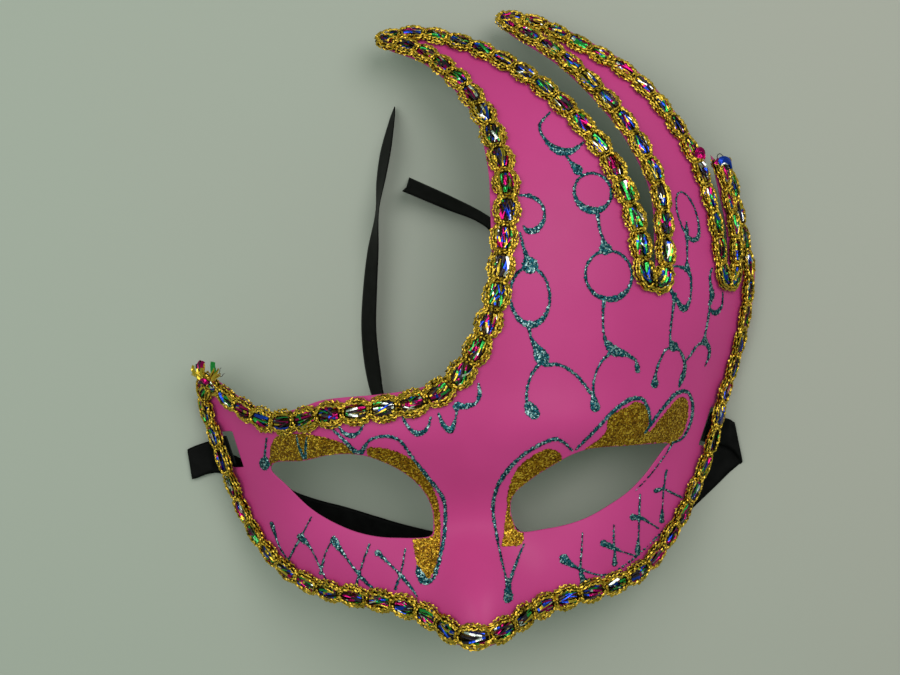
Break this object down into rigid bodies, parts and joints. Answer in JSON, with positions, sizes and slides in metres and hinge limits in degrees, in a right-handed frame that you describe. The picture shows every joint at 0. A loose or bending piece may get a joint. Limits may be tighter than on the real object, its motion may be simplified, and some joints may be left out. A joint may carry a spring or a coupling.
{
  "type": "venetian half mask",
  "caption": "Moulded plastic half mask with a crescent cut-out and flame horns, edged with metallic tinsel braid and tied with satin ribbons.",
  "frame": {"origin": "on the table, under the middle of the mask lying face up, the free ribbons left out", "axes": "+X to the wearer's left, which is the right of the picture; +Y up the face towards the horns; +Z out of the front of the face, away from the table"},
  "size_m": [0.1871, 0.1925, 0.0529],
  "materials": {
    "shell": "satin, with glitter lines and patches",
    "braid": "metallic yarn round windows of coloured tinsel",
    "ribbon": "satin weave"
  },
  "bodies": {
    "root": {"mask_shell": "shell", "edge_braid": "braid", "ribbon_left": "ribbon", "ribbon_right": "ribbon"}
  },
  "joints": []
}
